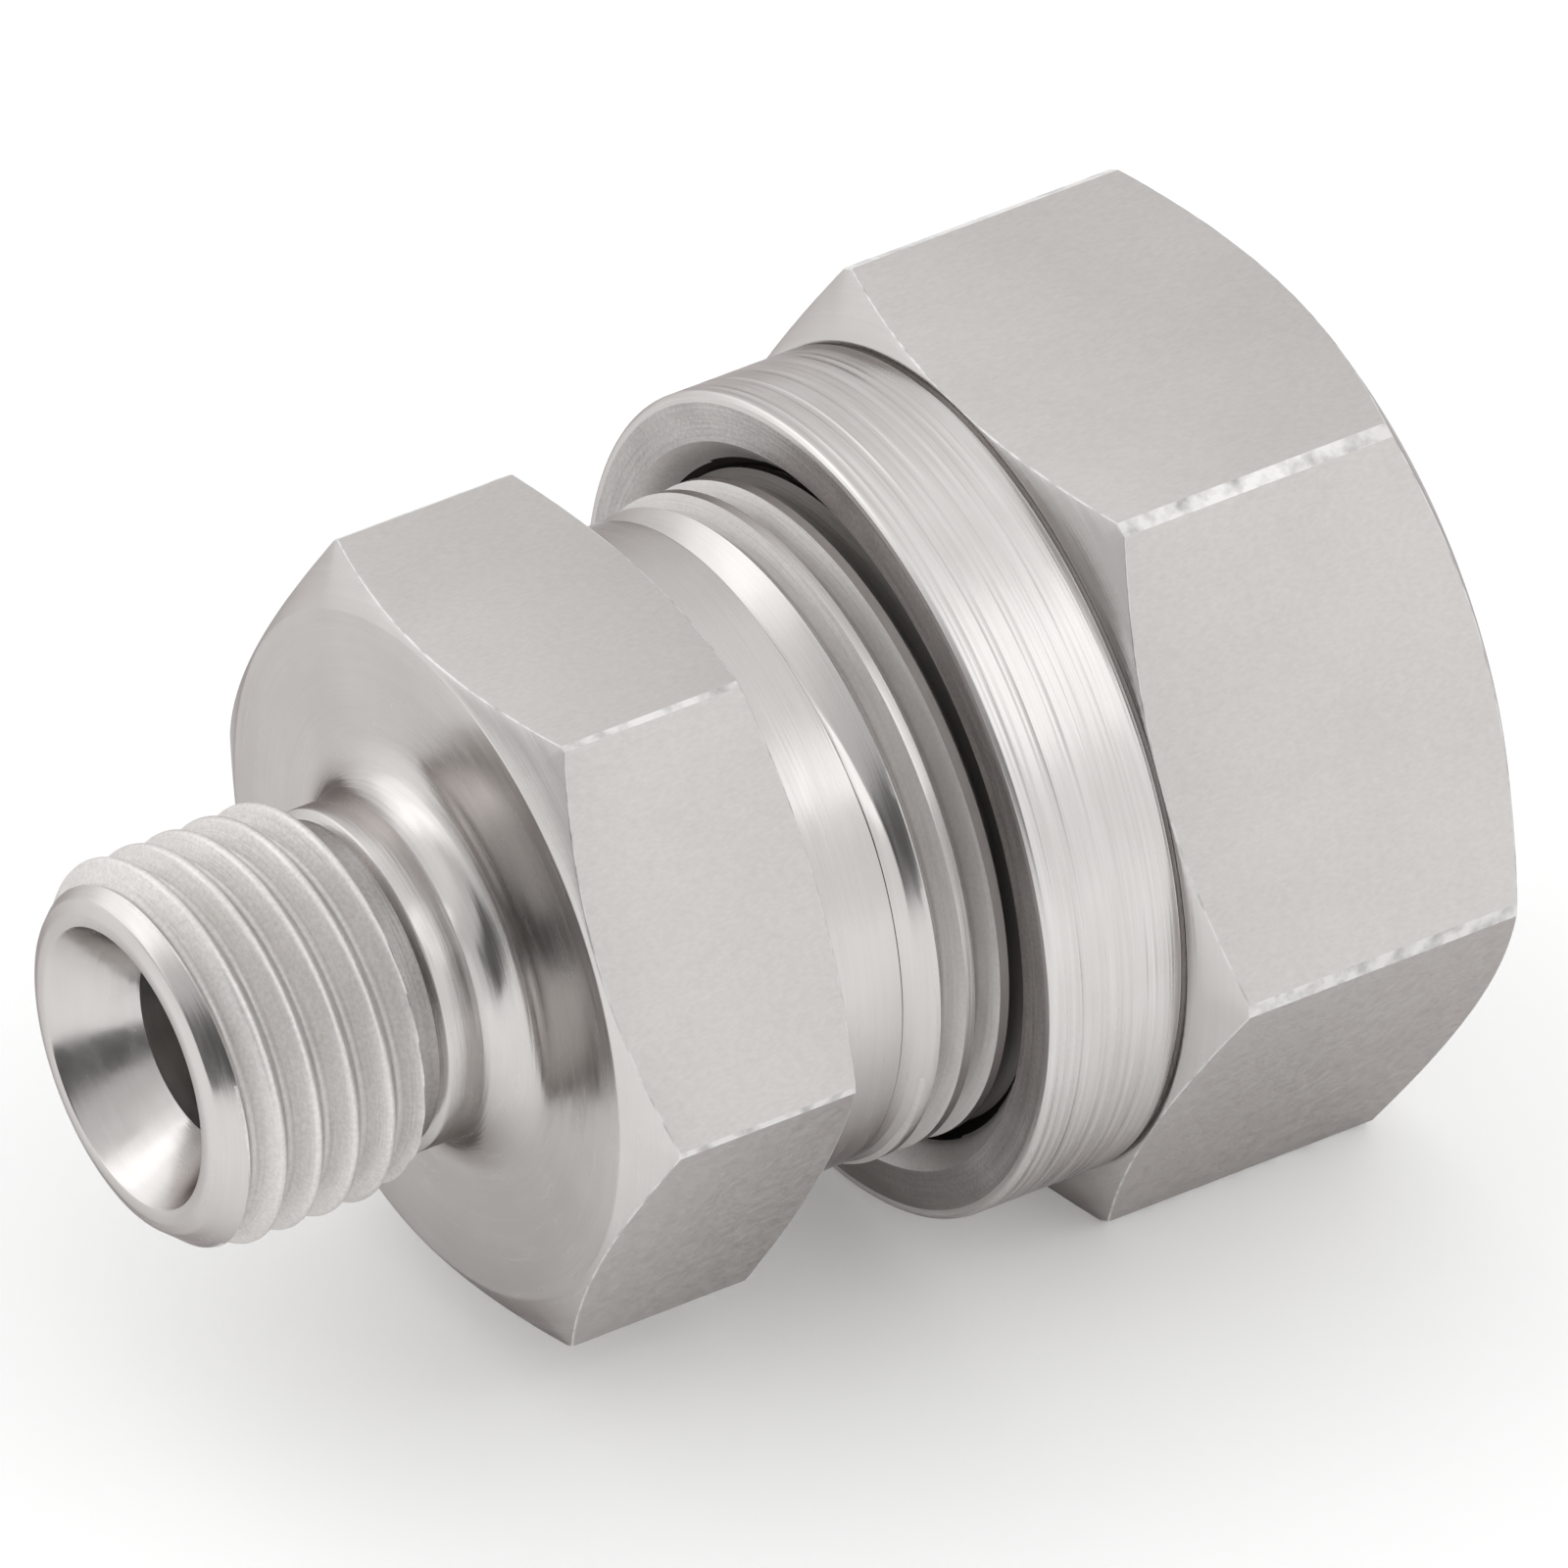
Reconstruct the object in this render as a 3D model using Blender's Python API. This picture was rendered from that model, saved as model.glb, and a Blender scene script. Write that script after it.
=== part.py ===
"""Male stud coupling for steel tube: a stud body, a union nut and the cutting ring inside the nut.

The stud screws into a port and seals on the 60 degree cone in its mouth. The other end takes the tube
in a socket behind a 24 degree cone. The union nut screws over that end, pushes the cutting ring along
the tube into the cone, and so grips and seals the tube. All three pieces share one axis, which runs
along +X from the stud to the tube. The coupling lies on a flat of its nut. Metres, +Z up.
"""
import math

import bmesh
import bpy
from mathutils import Matrix

MM = 0.001
SEGMENTS = 72

# Stud: a 1/4 inch parallel pipe thread, 19 threads to the inch, with a 60 degree cone in its mouth
STUD_THREAD_DIA = 13.05 * MM
STUD_THREAD_LENGTH = 7.15 * MM
STUD_THREAD_PITCH = 1.337 * MM
STUD_THREAD_DEPTH = 0.8 * MM
STUD_THREAD_LAND = 0.28 * MM
STUD_THREAD_START = math.radians(61.3)
STUD_NOSE_CHAMFER = 1.3 * MM
STUD_LIP_DEPTH = 0.16 * MM
STUD_LIP_STEP = 0.41 * MM
STUD_RIM_DIA = 10.3 * MM
STUD_RIM_WIDTH = 0.45 * MM
STUD_CONE_ANGLE = math.radians(60)
STUD_BORE_DIA = 6.4 * MM
RUNOUT_WIDTH = 1.25 * MM
RUNOUT_DIA = 10.9 * MM
RUNOUT_SIDE_ANGLE = math.radians(73)
STUD_NECK_DIA = 11.5 * MM
STUD_NECK_LENGTH = 1.2 * MM
STUD_FILLET = 1.6 * MM

# Body hexagon: 0.920 inch across its flats, with its corners turned off at both ends, down to a face
# that lies just inside the flats
BODY_HEX_AF = 23.37 * MM
BODY_HEX_CORNER_LENGTH = 6.45 * MM
BODY_HEX_EDGE = 0.12 * MM
BODY_HEX_TURN = math.radians(-2.2)
BODY_FACE_STEP = 0.185 * MM
BODY_STUD_SIDE_CHAMFER = math.radians(28)
BODY_TUBE_SIDE_CHAMFER = math.radians(20)

# Tube end of the body: neck, fine thread of 20 threads to the inch, 24 degree cone and tube socket
BODY_NECK_DIA = 21.7 * MM
BODY_NECK_LENGTH = 2.75 * MM
TUBE_THREAD_DIA = 22.2 * MM
TUBE_THREAD_LENGTH = 10.85 * MM
TUBE_THREAD_PITCH = 1.27 * MM
TUBE_THREAD_DEPTH = 0.77 * MM
TUBE_THREAD_LAND = 0.24 * MM
TUBE_THREAD_START = math.radians(108.8)
TUBE_THREAD_LEAD = 0.5 * MM
TUBE_THREAD_CHAMFER = 0.8 * MM
TUBE_DIA = 12.7 * MM
SOCKET_DEPTH = 9.5 * MM
SEAT_CONE_ANGLE = math.radians(24)
PASSAGE_DIA = 10.5 * MM
PASSAGE_LENGTH = 10.5 * MM
PASSAGE_DRILL_ANGLE = math.radians(118)

# Union nut: 1.10 inch across its flats, with a round collar towards the body. The collar and the rear
# face are turned to just inside the flats
NUT_HEX_AF = 27.94 * MM
NUT_HEX_CORNER_LENGTH = 9.9 * MM
NUT_HEX_EDGE = 0.3 * MM
NUT_FRONT_CHAMFER = math.radians(27)
NUT_REAR_CHAMFER = math.radians(30)
NUT_REAR_STEP = 0.77 * MM
COLLAR_STEP = 0.12 * MM
COLLAR_LENGTH = 4.8 * MM
COLLAR_EDGE = 0.2 * MM
COLLAR_GROOVE_WIDTH = 0.2 * MM
COLLAR_GROOVE_DEPTH = 0.25 * MM
COLLAR_CONE_STEP = 0.1 * MM
NUT_COUNTERSINK = 0.95 * MM
NUT_CHAMBER_LENGTH = 1.6 * MM
NUT_SHOULDER_ANGLE = math.radians(90)
NUT_HOLE_CHAMFER = 0.5 * MM
NUT_STANDOFF = 6.3 * MM

# Cutting ring on the tube, between the cone in the body and the shoulder in the nut. Its nose has entered
# the cone, and meets it after the rest of its travel
RING_NOSE_WALL = 0.55 * MM
RING_NOSE_LENGTH = 4.6 * MM
RING_BAND_LENGTH = 0.6 * MM
RING_REAR_WALL = 0.5 * MM
RING_ENTRY = 0.45 * MM
RING_TRAVEL = 2.47 * MM

# Clearances, all radial or along the surface normal
TUBE_CLEARANCE = 0.075 * MM
NUT_HOLE_CLEARANCE = 0.15 * MM
THREAD_CLEARANCE = 0.15 * MM
CHAMBER_CLEARANCE = 0.65 * MM
SHOULDER_GAP = 0.3 * MM

# How far a bar of hexagon stock sticks out past both ends of the blank it is cut from
BAR_OVERHANG = 5 * MM

# Points of a threaded piece that lie closer than this are one point
SAME_POINT = 0.01 * MM

ZINC_PLATE = (0.66, 0.65, 0.64, 1.0)
RING_STEEL = (0.56, 0.55, 0.53, 1.0)


def corner_radius(across_flats):
    """Radius of a hexagon's corners."""
    return across_flats / math.sqrt(3)


def taper_run(big_dia, small_dia, included_angle):
    """Length of a cone between two diameters."""
    return (big_dia - small_dia) / 2 / math.tan(included_angle / 2)


def chamfer_run(across_flats, face_dia, angle):
    """Distance along the axis from a hexagon's corners to its turned end face."""
    return (corner_radius(across_flats) - face_dia / 2) * math.tan(angle)


# Cutting ring: its bore, its outside along the nose, band and rear bevel, and its length
RING_BORE_DIA = TUBE_DIA + 2 * TUBE_CLEARANCE
RING_NOSE_DIA = RING_BORE_DIA + 2 * RING_NOSE_WALL
RING_DIA = RING_NOSE_DIA + 2 * RING_NOSE_LENGTH * math.tan(SEAT_CONE_ANGLE / 2)
RING_REAR_DIA = RING_BORE_DIA + 2 * RING_REAR_WALL
RING_BEVEL_X = RING_NOSE_LENGTH + RING_BAND_LENGTH
RING_LENGTH = RING_BEVEL_X + taper_run(RING_DIA, RING_REAR_DIA, NUT_SHOULDER_ANGLE)

# Places along the body, measured from the stud's nose
RUNOUT_END_X = STUD_THREAD_LENGTH + RUNOUT_WIDTH
STUD_CONE_DIA = STUD_RIM_DIA - 2 * STUD_RIM_WIDTH
STUD_LENGTH = RUNOUT_END_X + STUD_NECK_LENGTH + STUD_FILLET
BODY_FACE_DIA = BODY_HEX_AF - 2 * BODY_FACE_STEP
BODY_CORNER_X = STUD_LENGTH + chamfer_run(BODY_HEX_AF, BODY_FACE_DIA, BODY_STUD_SIDE_CHAMFER)
BODY_CORNER_END_X = BODY_CORNER_X + BODY_HEX_CORNER_LENGTH
BODY_REAR_FACE_X = BODY_CORNER_END_X + chamfer_run(BODY_HEX_AF, BODY_FACE_DIA, BODY_TUBE_SIDE_CHAMFER)
TUBE_THREAD_X = BODY_REAR_FACE_X + BODY_NECK_LENGTH
BODY_END_X = TUBE_THREAD_X + TUBE_THREAD_LENGTH
SOCKET_DIA = TUBE_DIA + 2 * TUBE_CLEARANCE
SEAT_CONE_DIA = RING_NOSE_DIA + 2 * RING_TRAVEL * math.tan(SEAT_CONE_ANGLE / 2)
SEAT_CONE_END_X = BODY_END_X - taper_run(SEAT_CONE_DIA, SOCKET_DIA, SEAT_CONE_ANGLE)
SOCKET_STOP_X = BODY_END_X - SOCKET_DEPTH
RING_IN_BODY_X = BODY_END_X - RING_ENTRY
NUT_IN_BODY_X = BODY_REAR_FACE_X + NUT_STANDOFF

# Places along the nut, measured from its collar's rim. Its shoulder lies just behind the ring's bevel
COLLAR_DIA = NUT_HEX_AF - 2 * COLLAR_STEP
COLLAR_CONE_DIA = COLLAR_DIA + 2 * COLLAR_CONE_STEP
NUT_CONE_X = COLLAR_LENGTH + COLLAR_GROOVE_WIDTH
NUT_CORNER_X = NUT_CONE_X + chamfer_run(NUT_HEX_AF, COLLAR_CONE_DIA, NUT_FRONT_CHAMFER)
NUT_CORNER_END_X = NUT_CORNER_X + NUT_HEX_CORNER_LENGTH
NUT_REAR_FACE_DIA = NUT_HEX_AF - 2 * NUT_REAR_STEP
NUT_LENGTH = NUT_CORNER_END_X + chamfer_run(NUT_HEX_AF, NUT_REAR_FACE_DIA, NUT_REAR_CHAMFER)
NUT_BORE_DIA = TUBE_THREAD_DIA + 2 * THREAD_CLEARANCE
NUT_HOLE_DIA = TUBE_DIA + 2 * NUT_HOLE_CLEARANCE
NUT_CHAMBER_DIA = RING_DIA + 2 * CHAMBER_CLEARANCE
RING_END_IN_NUT_X = RING_IN_BODY_X + RING_LENGTH - NUT_IN_BODY_X
RING_SHOULDER_X = RING_END_IN_NUT_X + SHOULDER_GAP / math.sin(NUT_SHOULDER_ANGLE / 2)
NUT_SHOULDER_X = RING_SHOULDER_X - taper_run(NUT_CHAMBER_DIA, RING_REAR_DIA, NUT_SHOULDER_ANGLE)
NUT_THREAD_DEPTH = NUT_SHOULDER_X - NUT_CHAMBER_LENGTH

# The coupling's axis runs half a nut's width above the ground, and the origin is below its middle
OVERALL_LENGTH = NUT_IN_BODY_X + NUT_LENGTH
AXIS_HEIGHT = NUT_HEX_AF / 2
NOSE_X = -OVERALL_LENGTH / 2


def clear_scene():
    """Remove every object, so that the file holds only the coupling."""
    for leftover in list(bpy.data.objects):
        bpy.data.objects.remove(leftover, do_unlink=True)


def metal(name, colour, roughness):
    """A bare or plated metal."""
    material = bpy.data.materials.new(name)
    material.use_nodes = True
    shader = material.node_tree.nodes["Principled BSDF"]
    shader.inputs["Base Color"].default_value = colour
    shader.inputs["Metallic"].default_value = 1.0
    shader.inputs["Roughness"].default_value = roughness
    return material


def arc(centre_x, centre_r, radius, start_angle, end_angle, steps):
    """Points of an arc in an outline, with angles counted from +X towards a growing radius."""
    points = []
    for step in range(steps + 1):
        angle = start_angle + (end_angle - start_angle) * step / steps
        points.append((centre_x + radius * math.cos(angle), centre_r + radius * math.sin(angle)))
    return points


def radius_at(line, place):
    """Radius at a place along a line of (place, radius) points."""
    for (start, start_radius), (end, end_radius) in zip(line, line[1:]):
        if place <= end:
            return start_radius + (end_radius - start_radius) * (place - start) / (end - start)
    return line[-1][1]


def threaded(blank, pitch, depth, land, start_angle, angle):
    """Outline of a thread cut into a blank, at one angle about the axis.

    The blank is a line of (place, radius) points. A right-hand groove is cut into it, with a root that
    rises back to the blank at both ends, and leaves a ridge with a narrow land for each turn.
    """
    start, start_radius = blank[0]
    end, end_radius = blank[-1]
    crest = max(radius for place, radius in blank)
    root = crest - depth
    points = []
    for turn in range(-2, math.ceil((end - start) / pitch) + 2):
        middle = start + pitch * (turn + (angle - start_angle) / (2 * math.pi))
        for place, radius in ((middle - land / 2, crest), (middle + land / 2, crest), (middle + pitch / 2, root)):
            place = min(max(place, start), end)
            floor = max(root, start_radius - (place - start), end_radius - (end - place))
            points.append((place, min(radius_at(blank, place), max(radius, floor))))
    return points


def wound(name, outline_at):
    """Turn an outline about the X axis that changes with the angle, as a thread's does."""
    shape = bmesh.new()
    columns = []
    for step in range(SEGMENTS + 1):
        angle = 2 * math.pi * step / SEGMENTS
        columns.append([
            shape.verts.new((x, radius * math.cos(angle), radius * math.sin(angle)))
            for x, radius in outline_at(angle)
        ])
    for column, following in zip(columns, columns[1:]):
        for i in range(len(column)):
            shape.faces.new((column[i - 1], column[i], following[i], following[i - 1]))
    bmesh.ops.remove_doubles(shape, verts=shape.verts, dist=SAME_POINT)
    bmesh.ops.dissolve_degenerate(shape, edges=shape.edges, dist=SAME_POINT)
    bmesh.ops.recalc_face_normals(shape, faces=shape.faces)
    mesh = bpy.data.meshes.new(name)
    shape.to_mesh(mesh)
    shape.free()
    piece = bpy.data.objects.new(name, mesh)
    bpy.context.collection.objects.link(piece)
    return piece


def turned(name, outline):
    """Turn a closed outline of (place along the axis, radius) points about the X axis."""
    shape = bmesh.new()
    corners = [shape.verts.new((x, radius, 0.0)) for x, radius in outline]
    edges = [shape.edges.new((corners[i - 1], corners[i])) for i in range(len(corners))]
    bmesh.ops.spin(shape, geom=corners + edges, cent=(0, 0, 0), axis=(1, 0, 0),
                   angle=2 * math.pi, steps=SEGMENTS, use_merge=True)
    bmesh.ops.recalc_face_normals(shape, faces=shape.faces)
    mesh = bpy.data.meshes.new(name)
    shape.to_mesh(mesh)
    shape.free()
    piece = bpy.data.objects.new(name, mesh)
    bpy.context.collection.objects.link(piece)
    return piece


def hexagon_bar(name, across_flats, edge_break, start_x, end_x, turn):
    """A bar of hexagon stock along X, with a flat facing up and its long edges broken."""
    shape = bmesh.new()
    along_axis = Matrix.Rotation(turn, 4, "X") @ Matrix.Rotation(math.pi / 2, 4, "Y")
    place = Matrix.Translation((start_x, 0, 0)) @ along_axis
    bmesh.ops.create_circle(shape, cap_ends=True, segments=6, radius=corner_radius(across_flats),
                            matrix=place)
    pushed = bmesh.ops.extrude_face_region(shape, geom=shape.faces[:])
    moved = [item for item in pushed["geom"] if isinstance(item, bmesh.types.BMVert)]
    bmesh.ops.translate(shape, verts=moved, vec=(end_x - start_x, 0, 0))
    middle = (start_x + end_x) / 2
    long_edges = [e for e in shape.edges if (e.verts[0].co.x - middle) * (e.verts[1].co.x - middle) < 0]
    bmesh.ops.bevel(shape, geom=long_edges, offset=edge_break, segments=1, affect="EDGES")
    bmesh.ops.recalc_face_normals(shape, faces=shape.faces)
    mesh = bpy.data.meshes.new(name)
    shape.to_mesh(mesh)
    shape.free()
    bar = bpy.data.objects.new(name, mesh)
    bpy.context.collection.objects.link(bar)
    bar.hide_render = True
    bar.display_type = "WIRE"
    return bar


def keep_inside(piece, bar):
    """Mill the flats: keep the part of a turned blank that lies inside a bar of hexagon stock."""
    bar.parent = piece
    flats = piece.modifiers.new("hexagon_flats", "BOOLEAN")
    flats.operation = "INTERSECT"
    flats.solver = "EXACT"
    flats.object = bar


def finish(piece, material, place, axis):
    """Give a piece its material and smooth shading, and set it on the coupling's axis."""
    piece.data.materials.append(material)
    piece.data.shade_smooth()
    piece.data.set_sharp_from_angle(angle=math.radians(15))
    piece.parent = axis
    piece.location = place


def stud_outline(angle):
    """Outside of the stud, from the rim of its mouth to the face of the body's hexagon."""
    thread = STUD_THREAD_DIA / 2
    neck = STUD_NECK_DIA / 2
    runout_side = taper_run(STUD_THREAD_DIA, RUNOUT_DIA, 2 * RUNOUT_SIDE_ANGLE)
    fillet = arc(STUD_LENGTH - STUD_FILLET, neck + STUD_FILLET, STUD_FILLET, -math.pi / 2, 0, 6)
    blank = [
        (STUD_LIP_DEPTH, STUD_RIM_DIA / 2 + STUD_LIP_STEP),
        (STUD_NOSE_CHAMFER, thread),
        (STUD_THREAD_LENGTH, thread),
        (STUD_THREAD_LENGTH + runout_side, RUNOUT_DIA / 2),
    ]
    ridges = threaded(blank, STUD_THREAD_PITCH, STUD_THREAD_DEPTH, STUD_THREAD_LAND, STUD_THREAD_START, angle)
    mouth = [(0, STUD_CONE_DIA / 2), (0, STUD_RIM_DIA / 2)]
    groove = [(RUNOUT_END_X, RUNOUT_DIA / 2), (RUNOUT_END_X, neck)]
    return mouth + ridges + groove + fillet


def hexagon_outline():
    """Blank of the body's hexagon: two chamfer cones that meet the bar's corners, and the stock between."""
    face = BODY_FACE_DIA / 2
    corner = corner_radius(BODY_HEX_AF)
    spare = corner - BODY_HEX_AF / 2
    return [
        (STUD_LENGTH, face),
        (BODY_CORNER_X + spare * math.tan(BODY_STUD_SIDE_CHAMFER), corner + spare),
        (BODY_CORNER_END_X - spare * math.tan(BODY_TUBE_SIDE_CHAMFER), corner + spare),
        (BODY_REAR_FACE_X, face),
    ]


def tube_end_outline(angle):
    """Outside of the tube end, from the hexagon to the end face."""
    neck = BODY_NECK_DIA / 2
    thread = TUBE_THREAD_DIA / 2
    lead = thread - neck
    blank = [
        (TUBE_THREAD_X - TUBE_THREAD_LEAD, neck),
        (TUBE_THREAD_X, neck),
        (TUBE_THREAD_X + lead, thread),
        (BODY_END_X - TUBE_THREAD_CHAMFER, thread),
        (BODY_END_X, thread - TUBE_THREAD_CHAMFER),
    ]
    ridges = threaded(blank, TUBE_THREAD_PITCH, TUBE_THREAD_DEPTH, TUBE_THREAD_LAND, TUBE_THREAD_START, angle)
    return [(BODY_REAR_FACE_X, neck)] + ridges


def passage_outline():
    """Inside of the body, from the end face back to the mouth of the stud."""
    drill_run = taper_run(PASSAGE_DIA, STUD_BORE_DIA, PASSAGE_DRILL_ANGLE)
    return [
        (BODY_END_X, SEAT_CONE_DIA / 2),
        (SEAT_CONE_END_X, SOCKET_DIA / 2),
        (SOCKET_STOP_X, SOCKET_DIA / 2),
        (SOCKET_STOP_X, PASSAGE_DIA / 2),
        (SOCKET_STOP_X - PASSAGE_LENGTH, PASSAGE_DIA / 2),
        (SOCKET_STOP_X - PASSAGE_LENGTH - drill_run, STUD_BORE_DIA / 2),
        (taper_run(STUD_CONE_DIA, STUD_BORE_DIA, STUD_CONE_ANGLE), STUD_BORE_DIA / 2),
    ]


def make_stud_body(steel, axis):
    """Body turned from hexagon bar: stud, hexagon, threaded tube end and the passage through it."""
    hexagon = hexagon_outline()
    passage = passage_outline()

    def outline_at(angle):
        return stud_outline(angle) + hexagon + tube_end_outline(angle) + passage

    body = wound("stud_body", outline_at)
    bar = hexagon_bar("body_hexagon_bar", BODY_HEX_AF, BODY_HEX_EDGE, -BAR_OVERHANG,
                      BODY_END_X + BAR_OVERHANG, BODY_HEX_TURN)
    keep_inside(body, bar)
    finish(body, steel, (NOSE_X, 0, 0), axis)


def make_union_nut(steel, axis):
    """Nut turned from hexagon bar: collar, groove, hexagon, thread bore, shoulder and tube hole."""
    collar = COLLAR_DIA / 2
    groove = collar - COLLAR_GROOVE_DEPTH
    bore = NUT_BORE_DIA / 2
    corner = corner_radius(NUT_HEX_AF)
    spare = corner - NUT_HEX_AF / 2
    chamber = NUT_CHAMBER_DIA / 2
    hole = NUT_HOLE_DIA / 2
    edge = arc(COLLAR_EDGE, collar - COLLAR_EDGE, COLLAR_EDGE, math.pi, math.pi / 2, 3)
    outline = edge + [
        (COLLAR_LENGTH, collar),
        (COLLAR_LENGTH, groove),
        (NUT_CONE_X, groove),
        (NUT_CONE_X, COLLAR_CONE_DIA / 2),
        (NUT_CORNER_X + spare * math.tan(NUT_FRONT_CHAMFER), corner + spare),
        (NUT_CORNER_END_X - spare * math.tan(NUT_REAR_CHAMFER), corner + spare),
        (NUT_LENGTH, NUT_REAR_FACE_DIA / 2),
        (NUT_LENGTH, hole + NUT_HOLE_CHAMFER),
        (NUT_LENGTH - NUT_HOLE_CHAMFER, hole),
        (NUT_SHOULDER_X + taper_run(NUT_CHAMBER_DIA, NUT_HOLE_DIA, NUT_SHOULDER_ANGLE), hole),
        (NUT_SHOULDER_X, chamber),
        (NUT_THREAD_DEPTH, chamber),
        (NUT_THREAD_DEPTH, bore),
        (NUT_COUNTERSINK, bore),
        (0, bore + NUT_COUNTERSINK),
    ]
    nut = turned("union_nut", outline)
    bar = hexagon_bar("nut_hexagon_bar", NUT_HEX_AF, NUT_HEX_EDGE, -BAR_OVERHANG,
                      NUT_LENGTH + BAR_OVERHANG, 0)
    keep_inside(nut, bar)
    finish(nut, steel, (NOSE_X + NUT_IN_BODY_X, 0, 0), axis)


def make_cutting_ring(steel, axis):
    """Ring with a nose that tapers like the seat cone and a rear bevel for the nut's shoulder."""
    bore = RING_BORE_DIA / 2
    outline = [
        (0, bore),
        (0, RING_NOSE_DIA / 2),
        (RING_NOSE_LENGTH, RING_DIA / 2),
        (RING_BEVEL_X, RING_DIA / 2),
        (RING_LENGTH, RING_REAR_DIA / 2),
        (RING_LENGTH, bore),
    ]
    ring = turned("cutting_ring", outline)
    finish(ring, steel, (NOSE_X + RING_IN_BODY_X, 0, 0), axis)


def make_axis():
    """Empty on the common axis, half a nut's width above the ground."""
    axis = bpy.data.objects.new("coupling_axis", None)
    bpy.context.collection.objects.link(axis)
    axis.location = (0, 0, AXIS_HEIGHT)
    return axis


def main():
    clear_scene()
    zinc = metal("zinc_plate", ZINC_PLATE, 0.35)
    ring_steel = metal("ring_steel", RING_STEEL, 0.3)
    axis = make_axis()
    make_stud_body(zinc, axis)
    make_cutting_ring(ring_steel, axis)
    make_union_nut(zinc, axis)


main()
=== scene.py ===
# %% [markdown]
# # A male stud coupling in bright zinc-plated steel
# The real coupling has three turned pieces: a body cut from hexagon bar, a union nut and a small cutting
# ring inside the nut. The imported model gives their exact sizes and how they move. This lesson dresses them:
# it cuts the helical threads, breaks the edges, leaves the lathe's marks and plates the steel.
# Everything is in metres, and the coupling's axis runs along X.

# %% Load the frame
import math

import bmesh
import bpy
import numpy as np
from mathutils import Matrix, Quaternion, Vector


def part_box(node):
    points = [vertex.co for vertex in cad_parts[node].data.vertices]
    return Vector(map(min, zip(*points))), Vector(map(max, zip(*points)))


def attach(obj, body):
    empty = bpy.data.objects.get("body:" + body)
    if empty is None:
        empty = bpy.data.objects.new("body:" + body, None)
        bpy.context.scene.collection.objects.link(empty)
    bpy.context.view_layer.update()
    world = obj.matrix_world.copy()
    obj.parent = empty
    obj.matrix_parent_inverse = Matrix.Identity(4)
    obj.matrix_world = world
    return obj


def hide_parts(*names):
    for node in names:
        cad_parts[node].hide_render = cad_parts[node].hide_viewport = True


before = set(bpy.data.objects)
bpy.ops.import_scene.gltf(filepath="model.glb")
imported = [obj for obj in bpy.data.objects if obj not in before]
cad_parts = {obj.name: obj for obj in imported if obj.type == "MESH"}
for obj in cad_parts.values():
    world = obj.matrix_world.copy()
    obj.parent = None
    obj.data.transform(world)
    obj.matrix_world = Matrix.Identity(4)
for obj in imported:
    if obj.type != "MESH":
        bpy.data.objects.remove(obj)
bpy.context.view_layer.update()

# %% [markdown]
# ## Where the pieces lie
# A turned piece is easiest to draw as a list of (place along the axis, radius). So each piece is drawn in
# millimetres from its own left end, and moved onto the axis afterwards. The frame's boxes say where that
# end and the axis are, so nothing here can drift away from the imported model.

# %% Axis and left ends
MM = 0.001
nut_low, nut_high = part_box("union_nut")
AXIS_HEIGHT = (nut_low.z + nut_high.z) / 2
NOSE_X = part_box("stud_body")[0].x
NUT_X = nut_low.x
RING_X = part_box("cutting_ring")[0].x
print(f"axis {AXIS_HEIGHT / MM:.2f} mm up, nose at {NOSE_X / MM:.2f}, nut at {NUT_X / MM:.2f} mm")

# %% [markdown]
# ## Camera
# The photograph was taken from far away with a long lens, so parallel edges stay almost parallel. The
# camera looks at one point near the middle of the coupling, from 38 degrees above and 33 degrees to the
# left, and leans by one degree. Giving it as an aim, two angles and a lean keeps it easy to change.

# %% Camera
AIM = Vector((2.657, -0.242, 15.597)) * MM
CAMERA_DISTANCE = 1154.32 * MM
CAMERA_AZIMUTH = math.radians(-32.89387)
CAMERA_ELEVATION = math.radians(37.828826)
CAMERA_LEAN = math.radians(0.9446)
away = Vector((
    math.sin(CAMERA_AZIMUTH) * math.cos(CAMERA_ELEVATION),
    -math.cos(CAMERA_AZIMUTH) * math.cos(CAMERA_ELEVATION),
    math.sin(CAMERA_ELEVATION),
))
camera_data = bpy.data.cameras.new("studio_camera")
camera_data.lens = 838.42
camera_data.sensor_width = 36
camera_data.clip_start = 0.1
camera_data.clip_end = 10
camera = bpy.data.objects.new("studio_camera", camera_data)
bpy.context.collection.objects.link(camera)
camera.location = AIM + CAMERA_DISTANCE * away
camera.rotation_mode = "QUATERNION"
camera.rotation_quaternion = (-away).to_track_quat("-Z", "Y") @ Quaternion((0, 0, 1), CAMERA_LEAN)
bpy.context.scene.camera = camera
print("camera at", [round(c / MM, 1) for c in camera.location], "mm")

# %% [markdown]
# ## One outline for each spoke
# A lathe turns one outline all the way round, and Blender's Spin or Screw would do the same. But a milled
# flat and a helical thread change the outline as it goes round. So each piece is built from spokes, like
# an umbrella: at every angle an outline with the same number of points is worked out, and neighbouring
# outlines are joined by quads. Edges then run exactly along the real edges, and no Boolean is needed.
# `spokes_for` lists the angles, counted from +Y towards +Z, with extra ones beside a hexagon's corners.

# %% Spokes
SPOKE_STEP = 2.0


def corner_width(across_flats, edge_break):
    """Angle from a hexagon's corner to the end of its broken edge, in degrees."""
    corner = across_flats / math.sqrt(3)
    return math.degrees(math.atan(0.866 * edge_break / (corner - edge_break / 2)))


def spokes_for(turn, width):
    """Angles in degrees for a hexagon whose first corner is at `turn` and whose edges are `width` wide."""
    angles = []
    for corner in range(0, 360, 60):
        angles += [turn + corner - width, turn + corner, turn + corner + width]
        angles += [turn + corner + SPOKE_STEP * k for k in range(1, int(60 / SPOKE_STEP))]
    return np.radians(np.array(sorted(angles)))


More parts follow.
